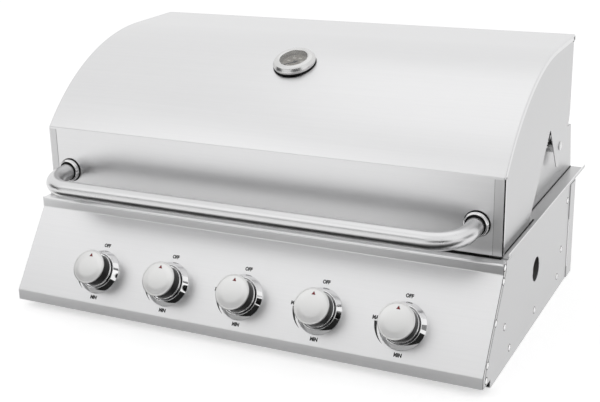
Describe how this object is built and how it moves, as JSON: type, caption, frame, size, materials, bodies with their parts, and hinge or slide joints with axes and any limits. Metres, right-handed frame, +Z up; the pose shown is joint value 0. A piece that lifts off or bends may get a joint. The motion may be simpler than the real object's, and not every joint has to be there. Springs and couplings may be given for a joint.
{
  "type": "built-in gas grill",
  "caption": "Stainless built-in gas grill with a curved lift-up hood, tube handle, lid thermometer, sloping control panel and push-and-turn burner knobs",
  "frame": {"origin": "on the ground in the middle of the part's width and depth", "axes": "+X to the right of someone in front of it, +Y towards the back, +Z up; the control panel faces -Y"},
  "size_m": [0.833, 0.6284, 0.44],
  "materials": {
    "burner": "heat-dulled stainless",
    "control_panel": "brushed along its width",
    "grate": "matt black",
    "firebox": "dull mill finish",
    "flame_tamer": "dull mill finish",
    "gas_manifold": "plain pipe",
    "grease_tray": "dull mill finish",
    "handle": "satin",
    "handle_base": "bright",
    "hinge_pin": "dark",
    "hinge_plate": "brushed",
    "hood_end": "brushed",
    "hood_liner": "mill finish",
    "hood_skin": "fine brushed along its width",
    "knob": "bright metallic plating over plastic",
    "knob_bezel": "bright",
    "rear_baffle": "brushed",
    "rear_ledge": "brushed",
    "rear_panel": "brushed",
    "side_ledge": "brushed",
    "side_panel": "brushed",
    "thermometer_case": "polished",
    "thermometer_dial": "satin beige",
    "thermometer_glass": "clear",
    "thermometer_needle": "satin black",
    "valve": "plain",
    "valve_stem": "plain",
    "warming_rack": "plain"
  },
  "bodies": {
    "base": {"burner_1": "burner", "burner_2": "burner", "burner_3": "burner", "burner_4": "burner", "burner_5": "burner", "control_panel": "control_panel", "cooking_grate_1": "grate", "cooking_grate_2": "grate", "cooking_grate_3": "grate", "firebox": "firebox", "flame_tamer_1": "flame_tamer", "flame_tamer_2": "flame_tamer", "flame_tamer_3": "flame_tamer", "flame_tamer_4": "flame_tamer", "flame_tamer_5": "flame_tamer", "gas_manifold": "gas_manifold", "hinge_pin_left": "hinge_pin", "hinge_pin_right": "hinge_pin", "hinge_plate_left": "hinge_plate", "hinge_plate_right": "hinge_plate", "knob_bezel_1": "knob_bezel", "knob_bezel_2": "knob_bezel", "knob_bezel_3": "knob_bezel", "knob_bezel_4": "knob_bezel", "knob_bezel_5": "knob_bezel", "rear_baffle": "rear_baffle", "rear_ledge": "rear_ledge", "rear_panel": "rear_panel", "side_ledge_left": "side_ledge", "side_ledge_right": "side_ledge", "side_panel_left": "side_panel", "side_panel_right": "side_panel", "valve_1": "valve", "valve_2": "valve", "valve_3": "valve", "valve_4": "valve", "valve_5": "valve", "warming_rack": "warming_rack"},
    "hood": {"hood_skin": "hood_skin", "hood_end_left": "hood_end", "hood_end_right": "hood_end", "hood_liner": "hood_liner", "handle": "handle", "handle_base_left": "handle_base", "handle_base_right": "handle_base", "thermometer_case": "thermometer_case", "thermometer_dial": "thermometer_dial", "thermometer_glass": "thermometer_glass"},
    "grease_tray": {"grease_tray": "grease_tray"},
    "needle": {"thermometer_needle": "thermometer_needle"},
    "stem_1": {"valve_stem_1": "valve_stem"},
    "knob_1": {"knob_1": "knob"},
    "stem_2": {"valve_stem_2": "valve_stem"},
    "knob_2": {"knob_2": "knob"},
    "stem_3": {"valve_stem_3": "valve_stem"},
    "knob_3": {"knob_3": "knob"},
    "stem_4": {"valve_stem_4": "valve_stem"},
    "knob_4": {"knob_4": "knob"},
    "stem_5": {"valve_stem_5": "valve_stem"},
    "knob_5": {"knob_5": "knob"}
  },
  "joints": [
    {"name": "hood_hinge", "type": "hinge", "parent": "base", "child": "hood", "pos_m": [0, 0.14792, 0.2601], "axis": [-1, 0, 0], "range_deg": [0, 80]},
    {"name": "grease_tray_slide", "type": "slide", "parent": "base", "child": "grease_tray", "axis": [0, -1, 0], "range_m": [0, 0.36]},
    {"name": "thermometer_needle_turn", "type": "hinge", "parent": "hood", "child": "needle", "pos_m": [0, -0.04061, 0.40828], "axis": [0, 0.3795, -0.9252], "range_deg": [0, 250], "stiffness_Nm_per_rad": 0.002},
    {"name": "knob_1_push", "type": "slide", "parent": "base", "child": "stem_1", "axis": [0, 0.8208, -0.5713], "range_m": [0, 0.004], "stiffness_N_per_m": 1500},
    {"name": "knob_1_turn", "type": "hinge", "parent": "stem_1", "child": "knob_1", "pos_m": [-0.261, -0.26893, 0.07872], "axis": [0, -0.8208, 0.5713], "range_deg": [0, 180]},
    {"name": "knob_2_push", "type": "slide", "parent": "base", "child": "stem_2", "axis": [0, 0.8208, -0.5713], "range_m": [0, 0.004], "stiffness_N_per_m": 1500},
    {"name": "knob_2_turn", "type": "hinge", "parent": "stem_2", "child": "knob_2", "pos_m": [-0.125, -0.26893, 0.07872], "axis": [0, -0.8208, 0.5713], "range_deg": [0, 180]},
    {"name": "knob_3_push", "type": "slide", "parent": "base", "child": "stem_3", "axis": [0, 0.8208, -0.5713], "range_m": [0, 0.004], "stiffness_N_per_m": 1500},
    {"name": "knob_3_turn", "type": "hinge", "parent": "stem_3", "child": "knob_3", "pos_m": [0.011, -0.26893, 0.07872], "axis": [0, -0.8208, 0.5713], "range_deg": [0, 180]},
    {"name": "knob_4_push", "type": "slide", "parent": "base", "child": "stem_4", "axis": [0, 0.8208, -0.5713], "range_m": [0, 0.004], "stiffness_N_per_m": 1500},
    {"name": "knob_4_turn", "type": "hinge", "parent": "stem_4", "child": "knob_4", "pos_m": [0.147, -0.26893, 0.07872], "axis": [0, -0.8208, 0.5713], "range_deg": [0, 180]},
    {"name": "knob_5_push", "type": "slide", "parent": "base", "child": "stem_5", "axis": [0, 0.8208, -0.5713], "range_m": [0, 0.004], "stiffness_N_per_m": 1500},
    {"name": "knob_5_turn", "type": "hinge", "parent": "stem_5", "child": "knob_5", "pos_m": [0.283, -0.26893, 0.07872], "axis": [0, -0.8208, 0.5713], "range_deg": [0, 180]}
  ]
}
